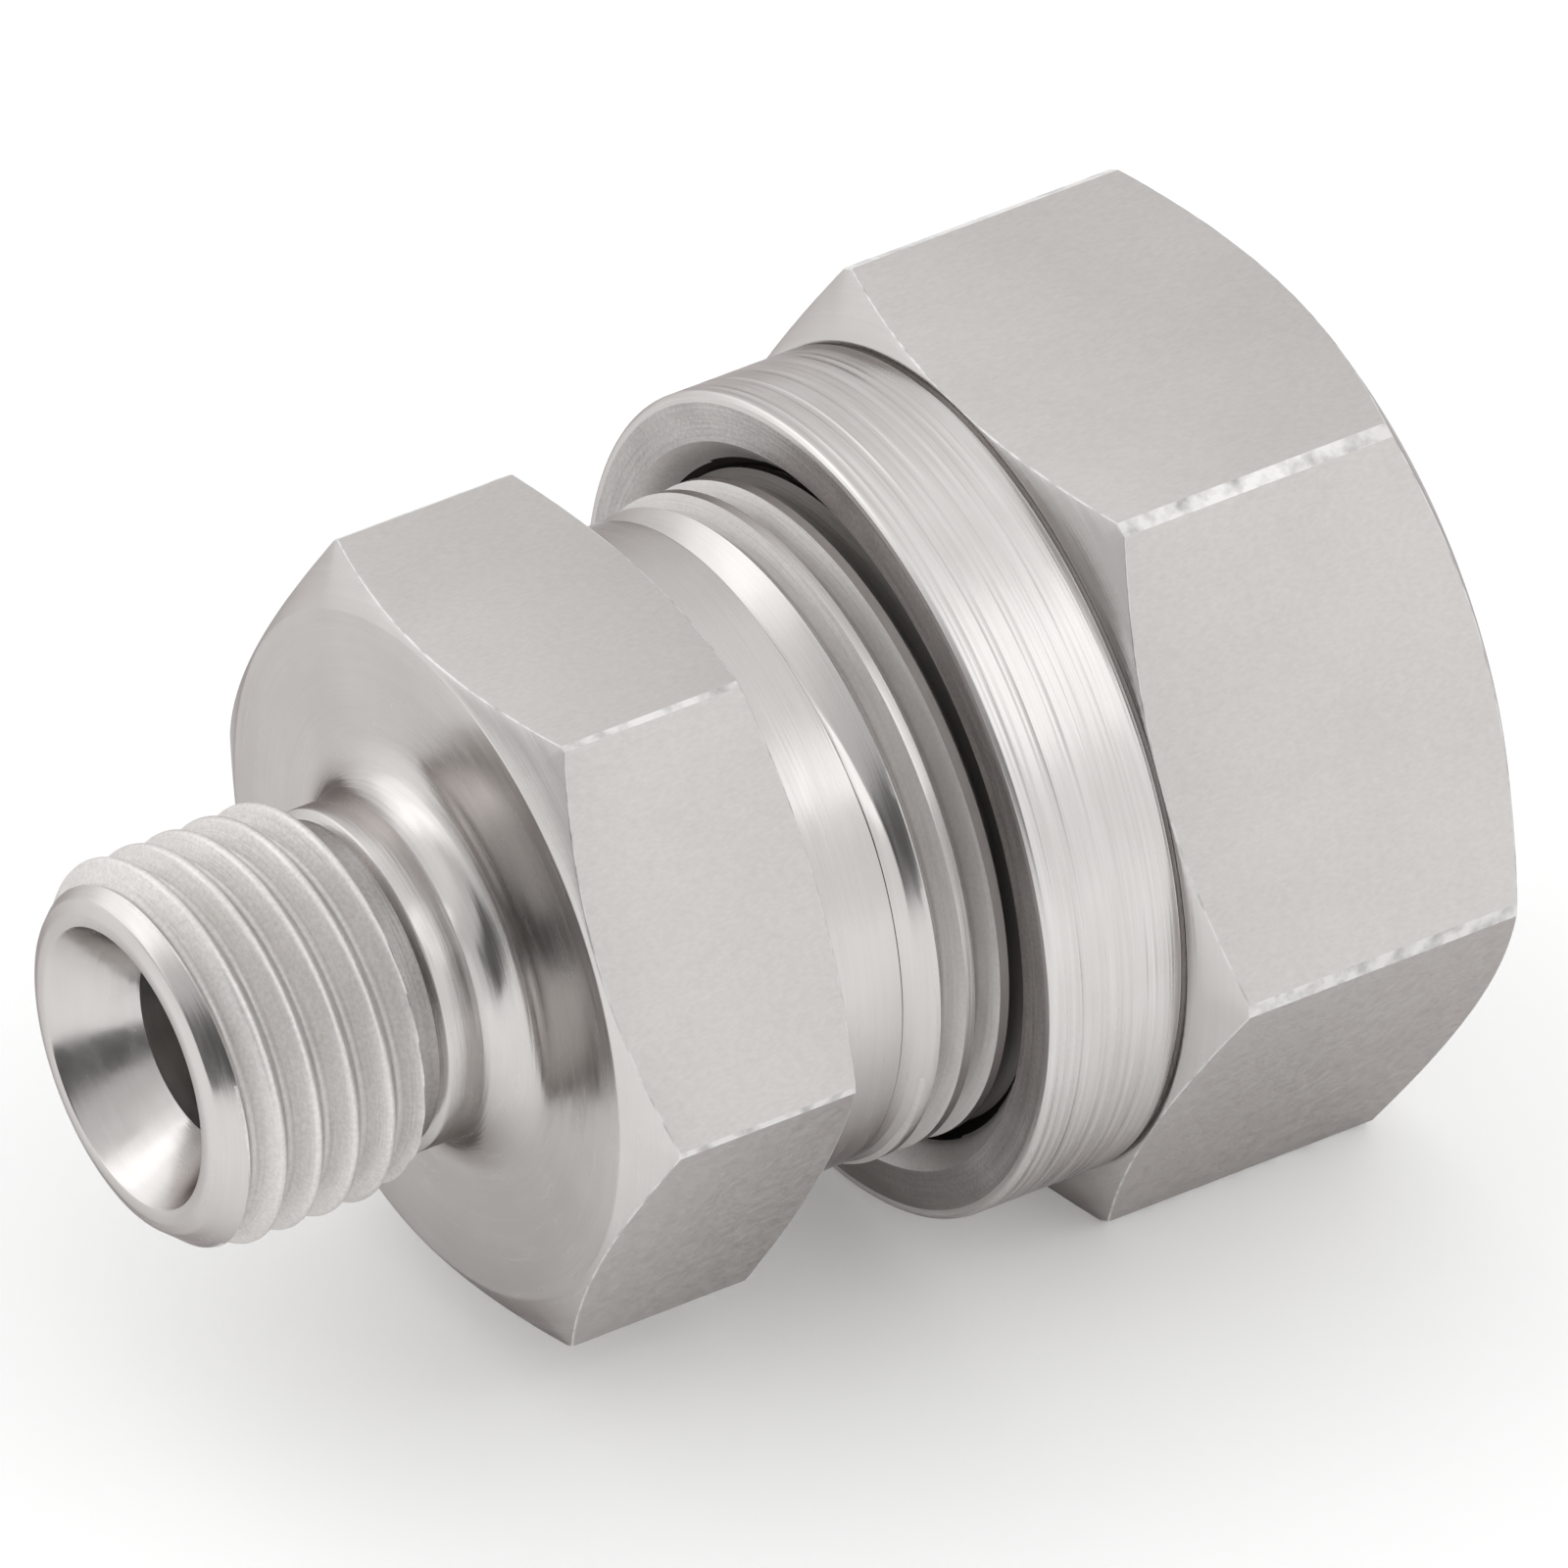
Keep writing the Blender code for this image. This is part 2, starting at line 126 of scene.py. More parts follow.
def bevel_columns(angles, turn, width):
    """True for each gap between two spokes that both lie on a broken corner."""
    to_corner = (angles - math.radians(turn) + math.pi / 6) % (math.pi / 3) - math.pi / 6
    on_corner = np.abs(to_corner) < math.radians(width) + 1e-6
    return on_corner & np.roll(on_corner, -1)


def hexagon_radius(angles, turn, across_flats, edge_break):
    """Distance from the axis to a hexagon with broken corners, at each angle."""
    flat = across_flats / 2
    edge = across_flats / math.sqrt(3) - edge_break / 2
    to_corner = (angles - math.radians(turn) + math.pi / 6) % (math.pi / 3) - math.pi / 6
    to_flat = math.pi / 6 - np.abs(to_corner)
    return np.minimum(flat / np.cos(to_flat), edge / np.cos(to_corner))


# %% [markdown]
# ## Broken edges
# No machined edge is perfectly sharp: deburring and plating leave a radius of a few hundredths of a
# millimetre, and that radius is what flashes in the light. `eased` walks along an outline and replaces
# each corner by a small arc of three points. It never takes more than the shorter neighbour allows, so
# the number of points is the same on every spoke.

# %% Ease the corners of an outline
EASE = 0.045


def eased(outline):
    """Outline with each inner corner replaced by an arc of three points. Entries are (x, r[, radius])."""
    points = [np.array(p[:2], float) for p in outline]
    result = [points[0]]
    for i in range(1, len(points) - 1):
        radius = outline[i][2] if len(outline[i]) > 2 else EASE
        back = points[i - 1] - points[i]
        ahead = points[i + 1] - points[i]
        reach_back, reach_ahead = np.linalg.norm(back), np.linalg.norm(ahead)
        cut = min(radius, 0.4 * reach_back, 0.4 * reach_ahead)
        first = points[i] + back / reach_back * cut
        last = points[i] + ahead / reach_ahead * cut
        middle = 0.25 * first + 0.5 * points[i] + 0.25 * last
        result += [first, middle, last]
    result.append(points[-1])
    return result


print("corner of three:", [tuple(np.round(p, 3)) for p in eased([(0, 0), (1, 0), (1, 1)])])

# %% [markdown]
# ## Sections
# A piece is a chain of sections that closes on itself: down the outside, round the end and back through
# the bore. A section holds a grid of places along the axis and radii, one column for each spoke. Where
# two sections meet they share the same points, and welding at the end makes one watertight skin.

# %% Sections


def turned_section(angles, outline, finish):
    """Grid of one outline, the same at every spoke."""
    points = np.array(eased(outline))
    x = np.repeat(points[:, 0][None], len(angles), 0)
    r = np.repeat(points[:, 1][None], len(angles), 0)
    return {"x": x, "r": r, "angles": angles, "closed": True, "finish": finish}


def milled_section(angles, outline_at, finishes, bevels=None):
    """Grid of an outline that differs from spoke to spoke. `finishes` names each stretch between corners.

    The eased corners beside a flat, and the columns in `bevels`, get the finish of a rubbed edge.
    """
    grid = np.array([eased(outline_at(i)) for i in range(len(angles))])
    rows = []
    for k, name in enumerate(finishes):
        beside_flat = "flat" in finishes[k:k + 2]
        rows += [name] if k == len(finishes) - 1 else [name] + 2 * ["edge" if beside_flat else name]
    finish = np.array([rows] * len(angles))
    if bevels is not None:
        finish[np.ix_(bevels, np.array(rows) == "flat")] = "edge"
    return {"x": grid[..., 0], "r": grid[..., 1], "angles": angles, "closed": True, "finish": finish}


# %% [markdown]
# ## From sections to a skin
# `make_skin` puts the grids of all sections into one mesh. `weld` then merges the points that neighbours
# share, drops faces that have closed up to nothing, and counts the open edges, of which a watertight skin
# has none. Edges sharper than 22 degrees are shaded sharp, and the rest smooth.

# %% Skins
WELD_DISTANCE = 0.0015 * MM
SHARP_ANGLE = math.radians(22)


def weld(name, mesh, finishes):
    """Merge shared points, drop faces that have closed up, and link the piece."""
    shape = bmesh.new()
    shape.from_mesh(mesh)
    bmesh.ops.remove_doubles(shape, verts=shape.verts, dist=WELD_DISTANCE)
    bmesh.ops.dissolve_degenerate(shape, edges=shape.edges, dist=WELD_DISTANCE)
    bmesh.ops.recalc_face_normals(shape, faces=shape.faces)
    open_edges = sum(1 for e in shape.edges if len(e.link_faces) != 2)
    triangles = sum(len(f.verts) - 2 for f in shape.faces)
    shape.to_mesh(mesh)
    shape.free()
    for material in finishes.values():
        mesh.materials.append(material)
    mesh.shade_smooth()
    mesh.set_sharp_from_angle(angle=SHARP_ANGLE)
    piece = bpy.data.objects.new(name, mesh)
    bpy.context.collection.objects.link(piece)
    print(f"{name}: {triangles} triangles, {open_edges} open edges")
    return piece


def make_skin(name, left_end, sections, finishes):
    """Weld sections into one closed mesh on the coupling's axis, with a material for each finish."""
    corners, faces, slots = [], [], []
    names = list(finishes)
    for section in sections:
        x, r, angles = section["x"], section["r"], section["angles"]
        columns, rows = x.shape
        start = sum(len(c) for c in corners)
        y = r * np.cos(angles)[:, None]
        z = r * np.sin(angles)[:, None]
        corners.append(np.stack([x * MM + left_end, y * MM, z * MM + AXIS_HEIGHT], -1).reshape(-1, 3))
        index = start + np.arange(columns * rows).reshape(columns, rows)
        following = np.roll(index, -1, 0) if section["closed"] else index[1:]
        index = index if section["closed"] else index[:-1]
        quads = np.stack([index[:, :-1], index[:, 1:], following[:, 1:], following[:, :-1]], -1)
        faces.append(quads.reshape(-1, 4))
        finish = section["finish"]
        named = np.broadcast_to(finish, (len(index), rows - 1))
        slots.append(np.vectorize(names.index)(named).ravel())
    mesh = bpy.data.meshes.new(name)
    mesh.from_pydata(np.concatenate(corners).tolist(), [], np.concatenate(faces).tolist())
    mesh.polygons.foreach_set("material_index", np.concatenate(slots).astype(np.int32))
    return weld(name, mesh, finishes)


# %% [markdown]
# ## Threads
# A thread is a ridge wound round the axis. Drawn straight, it is a profile that repeats once for each
# pitch. On each spoke the profile is slid along by that spoke's share of one pitch, so that after a full
# turn it meets the next ridge. Two limits trim it: nothing stands higher than the blank it was cut from,
# and no groove goes deeper than the tool did, which gives the lead at the start and the run-out. Where the
# blank was never cut, the faces keep the finish of a turned one.

# %% Helical section
PHASE_ANGLE = 132.9  # the spoke along which the photograph shows the crests
COUNTERSINK_DEPTH = 0.6
UNCUT_MARGIN = 0.02


def all_four(flags):
    """True for each face of a grid whose four corners are flagged."""
    return flags[:-1, :-1] & flags[1:, :-1] & flags[:-1, 1:] & flags[1:, 1:]


def helix_section(angles, pitch, ridge, phase_x, start, end, highest, lowest, finish, countersink=None):
    """Thread between `start` and `end`. A ridge's middle passes `phase_x` on the spoke at PHASE_ANGLE.

    `highest` and `lowest` list the two limits as (x, r). Faces on the lower limit near the start get the
    finish `countersink`.
    """
    around = np.append(angles, angles[0] + 2 * math.pi)
    first = math.floor((start - phase_x) / pitch) - 3
    last = math.ceil((end - phase_x) / pitch) + 3
    along = np.array([(k + u) * pitch for k in range(first, last) for u, height in ridge])
    heights = np.array([height for k in range(first, last) for u, height in ridge])
    slide = pitch * (around - math.radians(PHASE_ANGLE)) / (2 * math.pi)
    x = np.clip(phase_x + along[None, :] + slide[:, None], start, end)
    r = np.repeat(heights[None], len(around), 0)
    top = np.interp(x, *zip(*highest))
    bottom = np.minimum(np.interp(x, *zip(*lowest)), top)
    r = np.clip(r, bottom, top)
    uncut = (r >= top - 1e-6) & (top < heights.max() - UNCUT_MARGIN)
    names = np.where(all_four(uncut), "turned", finish)
    if countersink:
        sunk = (r <= bottom + 1e-6) & (x < start + COUNTERSINK_DEPTH)
        names = np.where(all_four(sunk), countersink, names)
    return {"x": x, "r": r, "angles": around, "closed": False, "finish": names}


# %% [markdown]
# ### Two ridge profiles
# The stud's pipe thread has equal roundings at crest and root, and the fine thread of the tube end has a
# narrow flat crest. The flanks of both lean by 30 degrees. A profile is a list of (share of the pitch,
# radius), and only its right half is worked out, because the left one mirrors it.

# %% Ridge profiles
def flank_points(top, bottom, count=3):
    """Points between the ends of a flank, so that its shading stays even."""
    steps = [k / (count + 1) for k in range(1, count + 1)]
    return [(top[0] + (bottom[0] - top[0]) * t, top[1] + (bottom[1] - top[1]) * t) for t in steps]


def rounded_ridge(pitch, crest, depth, flank_angle, steps=4):
    """Ridge of a pipe thread: equal arcs at the crest and the root, and straight flanks."""
    lean = math.radians(90 - flank_angle)
    sharp = pitch / (2 * math.tan(math.radians(flank_angle)))
    radius = (sharp - depth) / 2 / (1 / math.sin(math.radians(flank_angle)) - 1)
    half = [(radius * math.sin(lean * k / steps), radius * (1 - math.cos(lean * k / steps)))
            for k in range(steps + 1)]
    crest_side = [(x / pitch, crest - drop) for x, drop in half]
    root_side = [(0.5 - x / pitch, crest - depth + drop) for x, drop in reversed(half)]
    right = crest_side + flank_points(crest_side[-1], root_side[0]) + root_side
    left = [(-u, r) for u, r in right[1:-1]]
    return sorted(left + right)


def flat_ridge(pitch, crest, depth, flank_angle, crest_width, edge=0.05):
    """Ridge of a fine thread: a narrow flat crest with eased edges and a rounded root."""
    half_crest = crest_width / 2
    run = depth * math.tan(math.radians(flank_angle))
    foot = half_crest + run
    ease_run = edge * math.tan(math.radians(flank_angle))
    top = [(0.0, crest), (half_crest - edge / 2, crest), (half_crest, crest - 0.25 * edge)]
    top.append((half_crest + ease_run / 2, crest - 0.8 * edge))
    low = [(foot - ease_run, crest - depth + edge), (foot, crest - depth + 0.25 * edge)]
    low.append((0.5 * (foot + pitch / 2), crest - depth))
    right = [(x / pitch, r) for x, r in top]
    feet = [(x / pitch, r) for x, r in low]
    right += flank_points(right[-1], feet[0], 2) + feet + [(0.5, crest - depth)]
    left = [(-u, r) for u, r in right[1:-1]]
    return sorted(left + right)


FLANK_ANGLE = 30
STUD_PITCH = 1.337
STUD_CREST = 6.525
STUD_DEPTH = 0.78
TUBE_PITCH = 1.27
TUBE_CREST = 11.1
TUBE_DEPTH = 0.77
TUBE_LAND = 0.30
OVERSIZE = 0.04  # the blank's own radius then trims the tube thread's crests flat
stud_ridge = rounded_ridge(STUD_PITCH, STUD_CREST, STUD_DEPTH, FLANK_ANGLE)
tube_ridge = flat_ridge(TUBE_PITCH, TUBE_CREST + OVERSIZE, TUBE_DEPTH + OVERSIZE, FLANK_ANGLE, TUBE_LAND)
print("points across a ridge:", len(stud_ridge), "and", len(tube_ridge))

# %% [markdown]
# ## Zinc-plated steel
# Bright zinc is a metal skin about a hundredth of a millimetre thick. It copies what is below it: the
# drawn flats of the bar stay satin and slightly clouded, while the turned faces keep the fine rings of
# the cutting tool. Both come from the same recipe, a Principled shader at full metallic, with noise that
# varies its tint and roughness, and a bump. For turned faces the bump follows a coordinate that grows
# along the outline, so its lines run round the axis wherever the face points.

# %% Node helpers


def new_finish(name):
    """Empty material with its shader, and a helper that adds and links nodes."""
    material = bpy.data.materials.new(name)
    material.use_nodes = True
    tree = material.node_tree
    shader = tree.nodes["Principled BSDF"]

    def node(kind, inputs=(), **settings):
        made = tree.nodes.new(kind)
        for key, value in settings.items():
            setattr(made, key, value)
        for socket, value in dict(inputs).items():
            if isinstance(value, bpy.types.NodeSocket):
                tree.links.new(value, made.inputs[socket])
            else:
                made.inputs[socket].default_value = value
        return made

    return material, tree, shader, node


def axis_places(node):
    """Place along the outline, and a direction round the axis, from the piece's own coordinates."""
    place = node("ShaderNodeTexCoord").outputs["Object"]
    centred = node("ShaderNodeVectorMath", {0: place, 1: (0, 0, AXIS_HEIGHT)}, operation="SUBTRACT")
    across = node("ShaderNodeVectorMath", {0: centred.outputs[0], 1: (0, 1, 1)}, operation="MULTIPLY")
    radius = node("ShaderNodeVectorMath", {0: across.outputs[0]}, operation="LENGTH").outputs["Value"]
    x = node("ShaderNodeSeparateXYZ", {0: centred.outputs[0]}).outputs["X"]
    along = node("ShaderNodeMath", {0: x, 1: radius}, operation="ADD").outputs[0]
    round_axis = node("ShaderNodeVectorMath", {0: across.outputs[0]}, operation="NORMALIZE").outputs[0]
    return place, along, round_axis


def ring_noise(node, along, round_axis, spacing, drift):
    """Noise in rings about `spacing` metres wide, which fade in and out `drift` times round the axis."""
    scaled = node("ShaderNodeMath", {0: along, 1: 1 / spacing}, operation="MULTIPLY").outputs[0]
    shift = node("ShaderNodeCombineXYZ", {"X": scaled}).outputs[0]
    turn = node("ShaderNodeVectorMath", {0: round_axis, "Scale": drift}, operation="SCALE").outputs[0]
    where = node("ShaderNodeVectorMath", {0: shift, 1: turn}, operation="ADD").outputs[0]
    noise = node("ShaderNodeTexNoise", {"Vector": where, "Scale": 1.0, "Detail": 2.0, "Roughness": 0.55})
    return noise.outputs["Fac"]


def spread(node, value, low, high):
    """Map noise, which mostly lies between 0.3 and 0.7, onto low to high."""
    settings = {"Value": value, "From Min": 0.3, "From Max": 0.7, "To Min": low, "To Max": high}
    return node("ShaderNodeMapRange", settings).outputs["Result"]


ZINC_LIGHT = (0.635, 0.615, 0.602, 1)
ZINC_DARK = (0.572, 0.550, 0.536, 1)
# Dark colour for painted shade, laid over thread roots, the thread inside the nut and the rim's lowest part.
PAINTED_SHADE = (0.19, 0.18, 0.17, 1)
EDGE_TINT = (0.42, 0.39, 0.385, 1)  # passivated zinc mirrors less at a shallow angle than clean metal

# %% [markdown]
# ### Turned faces
# The lines of a finishing cut are about a tenth of a millimetre apart. Two widths are mixed, because a
# real tool chatters: fine lines everywhere and broader ones here and there. Both fade in and out on the
# way round. A slow cloud of tint lies over them, and threads get a fine grain too, because plating builds
# up rough on a cut flank. Last comes painted shade: a dark colour laid over the plating from one value of
# a coordinate to another, in thread roots, where the thread goes into the nut, and low on the nut's rim.

# %% Turned finish


def turned_finish(name, roughness, line_depth, line_spacing, streaks=0.25, light=ZINC_LIGHT, dark=ZINC_DARK,
                  grain_depth=0.0, painted_shade_along_x=None, painted_shade_in_root=None, painted_shade_below=None):
    """Plated steel with the lathe's rings. `streaks` says how much the rings show in its tint.

    Painted shade darkens it along x, towards a thread's root or towards the bottom, one argument for each,
    each given as (no shade here, full shade here, how much the painted shade covers the plating).
    """
    material, tree, shader, node = new_finish(name)
    place, along, round_axis = axis_places(node)
    fine = ring_noise(node, along, round_axis, line_spacing * MM, 1.5)
    broad = ring_noise(node, along, round_axis, 4.5 * line_spacing * MM, 2.5)
    cloud = node("ShaderNodeTexNoise", {"Vector": place, "Scale": 260.0, "Detail": 3.0}).outputs["Fac"]
    rings = node("ShaderNodeMath", {0: fine, 1: broad}, operation="ADD").outputs[0]
    rings = node("ShaderNodeMath", {0: rings, 1: 0.5}, operation="MULTIPLY").outputs[0]
    mixed = node("ShaderNodeMix", {"Factor": streaks, "A": spread(node, cloud, 0, 1),
                                   "B": spread(node, rings, -0.8, 1.8)}, clamp_result=False)
    grain = node("ShaderNodeTexNoise", {"Vector": place, "Scale": 7000.0, "Detail": 3.0}).outputs["Fac"]
    speckled = node("ShaderNodeMix", {"Factor": min(1.0, 40 * grain_depth), "A": mixed.outputs[0],
                                      "B": spread(node, grain, -0.4, 1.4)})
    tint = node("ShaderNodeMix", {"Factor": speckled.outputs[0], "A": dark, "B": light}, data_type="RGBA")
    colour = tint.outputs[2]
    axes = node("ShaderNodeSeparateXYZ", {0: place}).outputs
    radius = node("ShaderNodeMath", {0: along, 1: axes["X"]}, operation="SUBTRACT").outputs[0]
    # Painted shade: each mask lays the dark colour over the plating between two values of x, of the radius or
    # of z.
    for value, limits in ((axes["X"], painted_shade_along_x), (radius, painted_shade_in_root), (axes["Z"], painted_shade_below)):
        if limits:
            settings = {"Value": value, "From Min": limits[0], "From Max": limits[1], "To Max": limits[2]}
            painted_shade_mask = node("ShaderNodeMapRange", settings).outputs["Result"]
            painted_shade_mix = node("ShaderNodeMix", {"Factor": painted_shade_mask, "A": colour, "B": PAINTED_SHADE}, data_type="RGBA")
            colour = painted_shade_mix.outputs[2]
    tree.links.new(colour, shader.inputs["Base Color"])
    rough = node("ShaderNodeMath", {0: spread(node, broad, -0.06, 0.06), 1: roughness}, operation="ADD")
    tree.links.new(rough.outputs[0], shader.inputs["Roughness"])
    lines = node("ShaderNodeMath", {0: fine, 1: broad}, operation="ADD").outputs[0]
    height = node("ShaderNodeMath", {0: grain, 1: grain_depth / line_depth, 2: lines},
                  operation="MULTIPLY_ADD").outputs[0]
    bump = node("ShaderNodeBump", {"Height": height, "Strength": 1.0, "Distance": line_depth * MM})
    tree.links.new(bump.outputs[0], shader.inputs["Normal"])
    shader.inputs["Metallic"].default_value = 1.0
    shader.inputs["Specular Tint"].default_value = EDGE_TINT
    return material


# %% [markdown]
# ### One finish for each kind of turned face
# Smooth necks and cones shine. The collar was turned with a coarser feed. The stud thread is dull and
# pale, with painted shade in its roots. The tube thread has painted shade in its roots too, and in full
# where it goes into the nut. The run-out groove and the nut's rim are painted darker as shade, the rim
# most of all towards its bottom. The countersink in the nut's mouth is painted pale, as painted light,
# and the nut's thread behind it is painted nearly black, as shade.

# %% Turned finishes
zinc_turned = turned_finish("zinc_turned", 0.23, line_depth=0.003, line_spacing=0.09)
zinc_collar = turned_finish(
    "zinc_collar", 0.30, line_depth=0.012, line_spacing=0.10, streaks=0.5,
    light=(0.70, 0.68, 0.67, 1), dark=(0.60, 0.58, 0.565, 1),
)
# Painted shade darkens the stud thread towards its roots.
zinc_thread = turned_finish(
    "zinc_thread", 0.55, line_depth=0.008, line_spacing=0.07, streaks=0.4, grain_depth=0.010,
    light=(0.84, 0.82, 0.805, 1), dark=(0.68, 0.66, 0.645, 1), painted_shade_in_root=(5.88 * MM, 5.76 * MM, 0.25),
)
# Painted shade darkens the tube thread towards its roots, and fully where it goes into the nut.
zinc_tube_thread = turned_finish(
    "zinc_tube_thread", 0.55, line_depth=0.008, line_spacing=0.07, streaks=0.4, grain_depth=0.006,
    light=(0.77, 0.75, 0.735, 1), dark=(0.64, 0.62, 0.605, 1),
    painted_shade_along_x=(NOSE_X + 25.8 * MM, NOSE_X + 26.2 * MM, 1.0), painted_shade_in_root=(10.46 * MM, 10.34 * MM, 0.3),
)
# The run-out groove is painted dark as shade.
zinc_groove_painted_shade = turned_finish(
    "zinc_groove_painted_shade", 0.4, line_depth=0.006, line_spacing=0.08, streaks=0.4, grain_depth=0.006,
    light=(0.52, 0.50, 0.49, 1), dark=(0.34, 0.32, 0.31, 1),
)
zinc_bore = turned_finish(
    "zinc_bore", 0.38, line_depth=0.006, line_spacing=0.12, streaks=0.4,
    light=(0.68, 0.66, 0.645, 1), dark=(0.56, 0.54, 0.525, 1),
)
# The nut's rim is painted darker as shade, and darker still towards its bottom.
zinc_rim_painted_shade = turned_finish(
    "zinc_rim_painted_shade", 0.34, line_depth=0.008, line_spacing=0.06, streaks=0.35, grain_depth=0.006,
    light=(0.62, 0.60, 0.59, 1), dark=(0.34, 0.325, 0.32, 1), painted_shade_below=(6.0 * MM, 1.5 * MM, 0.7),
)
# The countersink in the nut's mouth is painted pale as painted light.
zinc_mouth_painted_light = turned_finish(
    "zinc_mouth_painted_light", 0.5, line_depth=0.012, line_spacing=0.08, streaks=0.3, grain_depth=0.008,
    light=(0.97, 0.95, 0.94, 1), dark=(0.8, 0.78, 0.77, 1),
)
# The nut's thread behind the mouth is painted nearly black as shade.
zinc_crevice_painted_shade = turned_finish(
    "zinc_crevice_painted_shade", 0.5, line_depth=0.006, line_spacing=0.1, streaks=0.3,
    light=(0.09, 0.085, 0.08, 1), dark=(0.05, 0.048, 0.045, 1),
)
print("turned finishes:", [m.name for m in bpy.data.materials if m.name.startswith("zinc_")])

# %% [markdown]
# ### Drawn flats
# The flats were never cut: they are the skin of the drawn bar under the plating. They look satin, with
# soft clouds of tint and a fine grain, which is stretched a little along the bar.

# %% Flat finish


def flat_finish(name, roughness):
    """Plated steel with the fine grain and clouds of drawn bar."""
    material, tree, shader, node = new_finish(name)
    place = node("ShaderNodeTexCoord").outputs["Object"]
    stretched = node("ShaderNodeVectorMath", {0: place, 1: (0.45, 1, 1)}, operation="MULTIPLY").outputs[0]
    grain = node("ShaderNodeTexNoise", {"Vector": stretched, "Scale": 9000.0, "Detail": 3.0}).outputs["Fac"]
    cloud = node("ShaderNodeTexNoise", {"Vector": place, "Scale": 170.0, "Detail": 4.0}).outputs["Fac"]
    speck = node("ShaderNodeTexNoise", {"Vector": place, "Scale": 2600.0, "Detail": 2.0}).outputs["Fac"]
    shade = node("ShaderNodeMix", {"Factor": 0.45, "A": spread(node, cloud, 0, 1),
                                   "B": spread(node, grain, -0.3, 1.3)})
    tint = node("ShaderNodeMix", {"Factor": shade.outputs[0], "A": ZINC_DARK, "B": ZINC_LIGHT},
                data_type="RGBA")
    tree.links.new(tint.outputs[2], shader.inputs["Base Color"])
    rough = node("ShaderNodeMath", {0: spread(node, speck, -0.06, 0.06), 1: roughness}, operation="ADD")
    tree.links.new(rough.outputs[0], shader.inputs["Roughness"])
    height = node("ShaderNodeMath", {0: grain, 1: speck}, operation="ADD").outputs[0]
    bump = node("ShaderNodeBump", {"Height": height, "Strength": 1.0, "Distance": 0.004 * MM})
    tree.links.new(bump.outputs[0], shader.inputs["Normal"])
    shader.inputs["Metallic"].default_value = 1.0
    shader.inputs["Specular Tint"].default_value = EDGE_TINT
    return material


zinc_flat = flat_finish("zinc_flat", 0.42)
print("flat finish:", zinc_flat.name)

# %% [markdown]
# ### Rubbed edges
# Loose parts rub against each other in the plating barrel and in the box, so their edges are brighter
# than the faces, with small darker nicks. The broken corners of the hexagons and the eased ends of the
# flats have faces of their own, which makes it easy to give them this finish.

# %% Edge finish


def edge_finish(name):
    """Rubbed, slightly nicked edge."""
    material, tree, shader, node = new_finish(name)
    place = node("ShaderNodeTexCoord").outputs["Object"]
    nick = node("ShaderNodeTexNoise", {"Vector": place, "Scale": 1500.0, "Detail": 4.0}).outputs["Fac"]
    nicked = node("ShaderNodeMapRange", {"Value": nick, "From Min": 0.44, "From Max": 0.8}).outputs["Result"]
    tint = node("ShaderNodeMix", {"Factor": nicked, "A": (0.70, 0.69, 0.68, 1), "B": (0.32, 0.31, 0.30, 1)},
                data_type="RGBA")
    tree.links.new(tint.outputs[2], shader.inputs["Base Color"])
    bump = node("ShaderNodeBump", {"Height": nick, "Strength": 1.0, "Distance": 0.004 * MM})
    tree.links.new(bump.outputs[0], shader.inputs["Normal"])
    shader.inputs["Metallic"].default_value = 1.0
    shader.inputs["Roughness"].default_value = 0.3
    return material


zinc_edge = edge_finish("zinc_edge")
print("edge finish:", zinc_edge.name)

# %% [markdown]
# ### Names of the finishes
# A section names its finish by a plain word. This list says which material the word stands for, and its
# order is the order of the material slots.

# %% Names of the finishes
FINISHES = {
    "turned": zinc_turned, "thread": zinc_thread, "bore": zinc_bore, "flat": zinc_flat,
    "edge": zinc_edge, "collar": zinc_collar, "rim": zinc_rim_painted_shade, "mouth": zinc_mouth_painted_light, "crevice": zinc_crevice_painted_shade,
    "tube thread": zinc_tube_thread, "groove": zinc_groove_painted_shade,
}
print(len(FINISHES), "finishes")

# %% [markdown]
# ## Stud body
# The body is one piece, drawn from the stud's nose. First the spokes: its hexagon sits 2.2 degrees off
# the nut's, as the pieces happened to be screwed together.

# %% Body sizes and spokes
BODY_TURN = -2.2
BODY_AF = 23.37  # across flats
BODY_EDGE = 0.13  # width of the broken corners
BODY_FACE_X = 11.2
BODY_FACE_R = 11.5
BODY_REAR_X = 19.4348
BODY_END = 33.0348
body_corner = corner_width(BODY_AF, BODY_EDGE)
body_angles = spokes_for(BODY_TURN, body_corner)
body_hexagon = hexagon_radius(body_angles, BODY_TURN, BODY_AF, BODY_EDGE)
print(len(body_angles), "spokes, hexagon radius", round(body_hexagon.min(), 3), round(body_hexagon.max(), 3))

# %% [markdown]
# ### Stud
# The mouth has a 60 degree cone that a hose's nipple seals on. Its rim is rounded into a chamfer, where
# the thread starts. The thread runs out into a groove, and behind it a fillet sweeps up from a short neck
# into the hexagon's face. The fillet is the highest loaded spot of the fitting, so it is generous.

